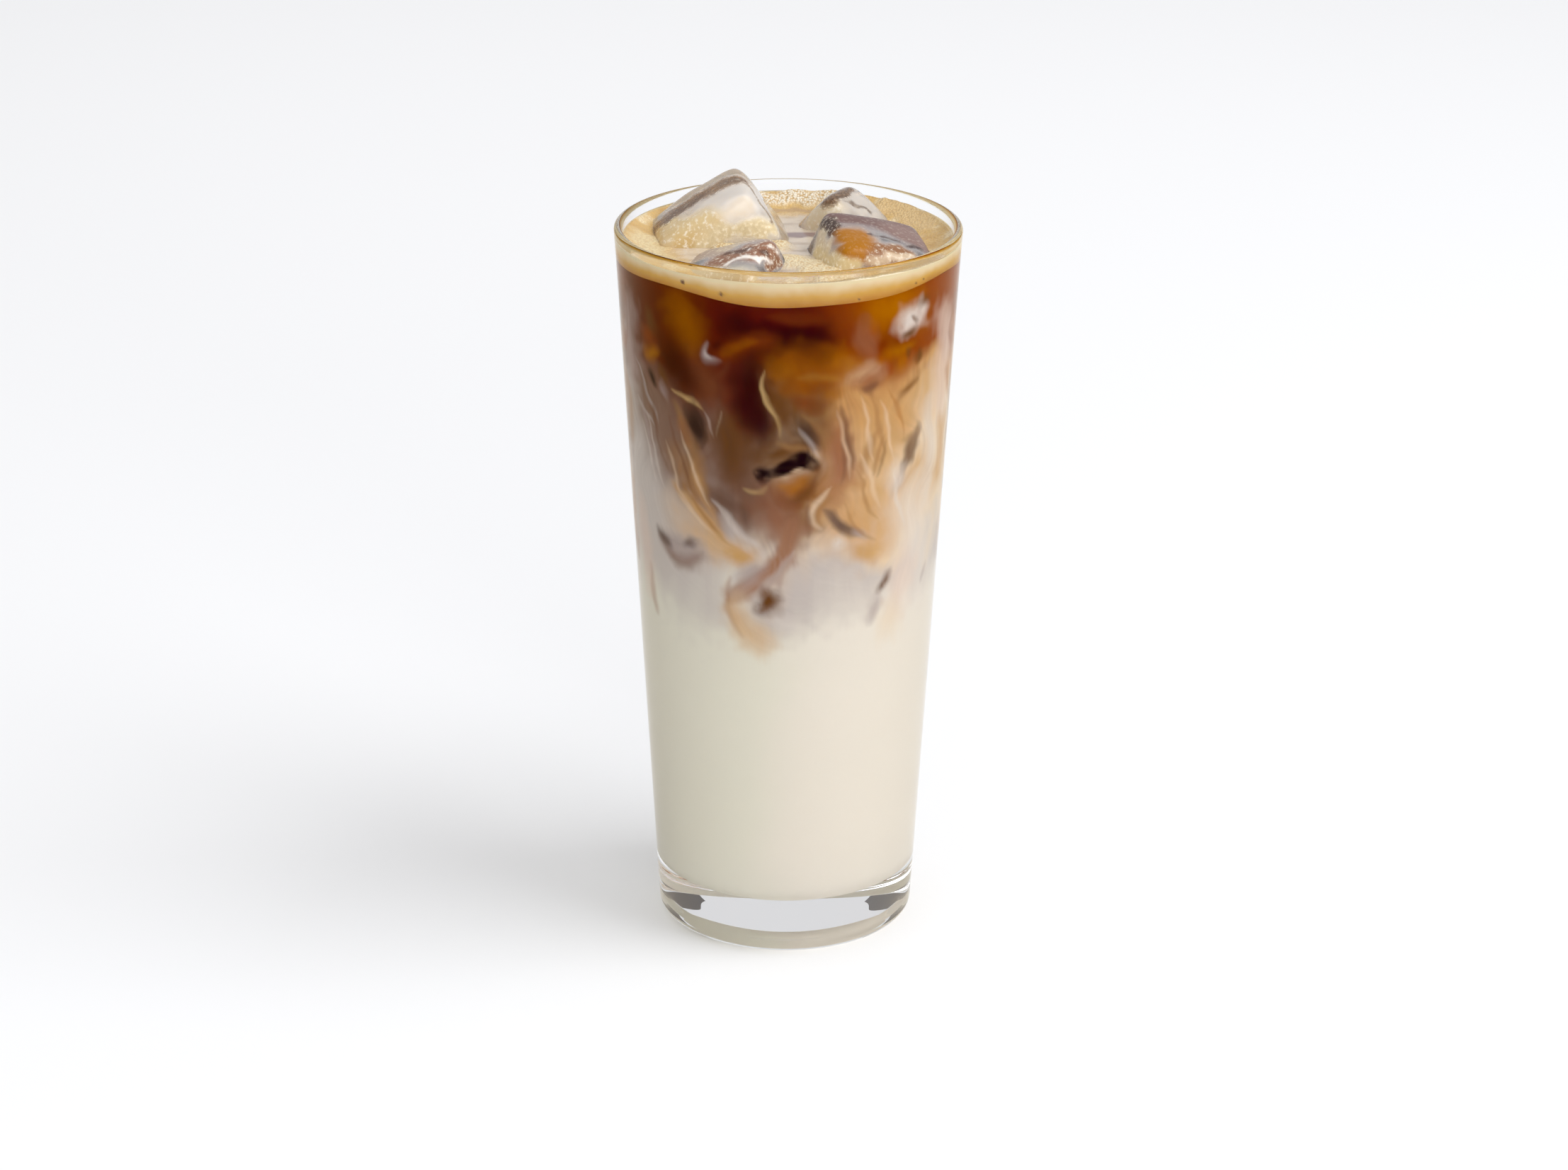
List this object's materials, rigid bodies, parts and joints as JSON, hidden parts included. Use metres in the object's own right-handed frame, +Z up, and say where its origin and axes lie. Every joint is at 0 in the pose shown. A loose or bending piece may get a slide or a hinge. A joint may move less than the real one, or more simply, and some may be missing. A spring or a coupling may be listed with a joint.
{
  "type": "iced latte",
  "caption": "Iced latte in a tall tapered clear glass: pale milk below, amber coffee swirling down into it, a thin tan foam head and ice cubes standing out of the top.",
  "frame": {"origin": "centre of the glass's foot, on the surface that it stands on", "axes": "+Z up along the glass's axis, -Y towards the viewer of the picture, +X to that viewer's right"},
  "size_m": [0.078, 0.078, 0.1741],
  "materials": {
    "clear_glass": "clear polished soda-lime glass",
    "milk": "opaque liquid, wet against the glass",
    "coffee": "dark translucent liquid",
    "foam": "fine bubbles, soft and matt",
    "ice": "clear wet ice with trapped bubbles"
  },
  "bodies": {
    "root": {"glass": "clear_glass", "milk": "milk", "coffee": "coffee", "foam": "foam", "ice_left_rear": "ice", "ice_right_rear": "ice", "ice_right_front": "ice", "ice_left_front": "ice"}
  },
  "joints": []
}
